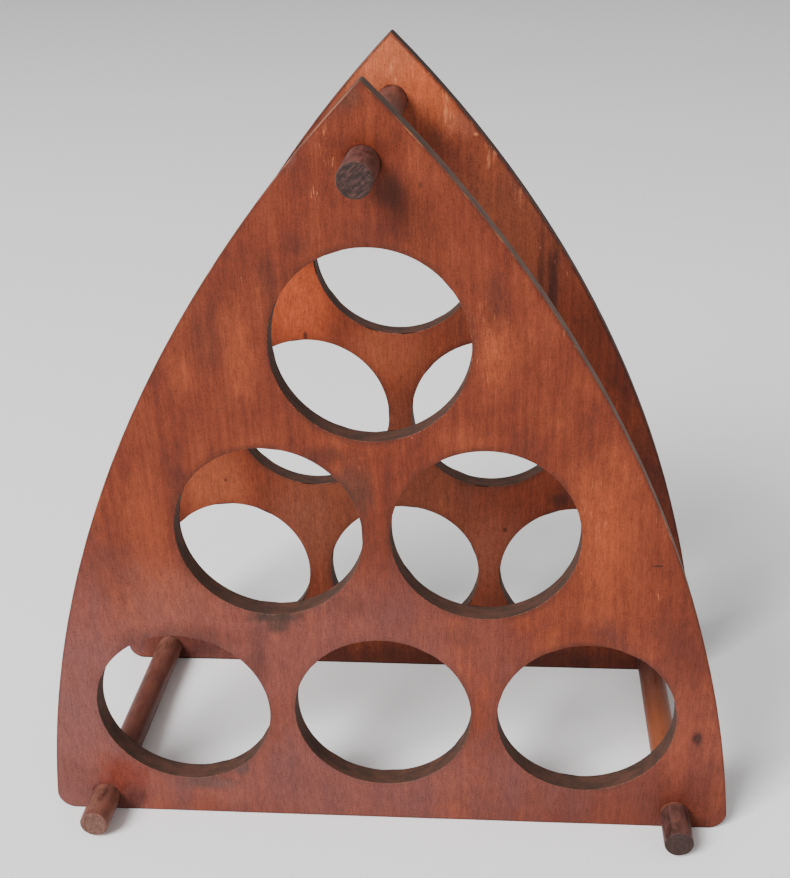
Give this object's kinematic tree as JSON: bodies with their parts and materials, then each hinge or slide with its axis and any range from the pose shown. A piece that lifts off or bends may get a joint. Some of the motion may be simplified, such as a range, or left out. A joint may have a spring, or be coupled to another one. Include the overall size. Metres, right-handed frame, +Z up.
{
  "type": "wine bottle rack",
  "caption": "Triangular wooden wine rack: pointed-arch boards with round bottle holes, held apart by through dowels that stand out at both ends.",
  "frame": {"origin": "on the plane that the rack stands on, midway between its sides and between its two boards", "axes": "+X along the width, to the right as seen from the front; +Y from the front board to the rear board; +Z up"},
  "size_m": [0.377, 0.224, 0.401],
  "materials": {
    "board_wood": "red-brown stain under a worn satin lacquer",
    "dowel_wood": "dark purplish-brown stain, satin, rough at the ends"
  },
  "bodies": {
    "root": {"front_board": "board_wood", "rear_board": "board_wood", "top_dowel": "dowel_wood", "left_dowel": "dowel_wood", "right_dowel": "dowel_wood"}
  },
  "joints": []
}
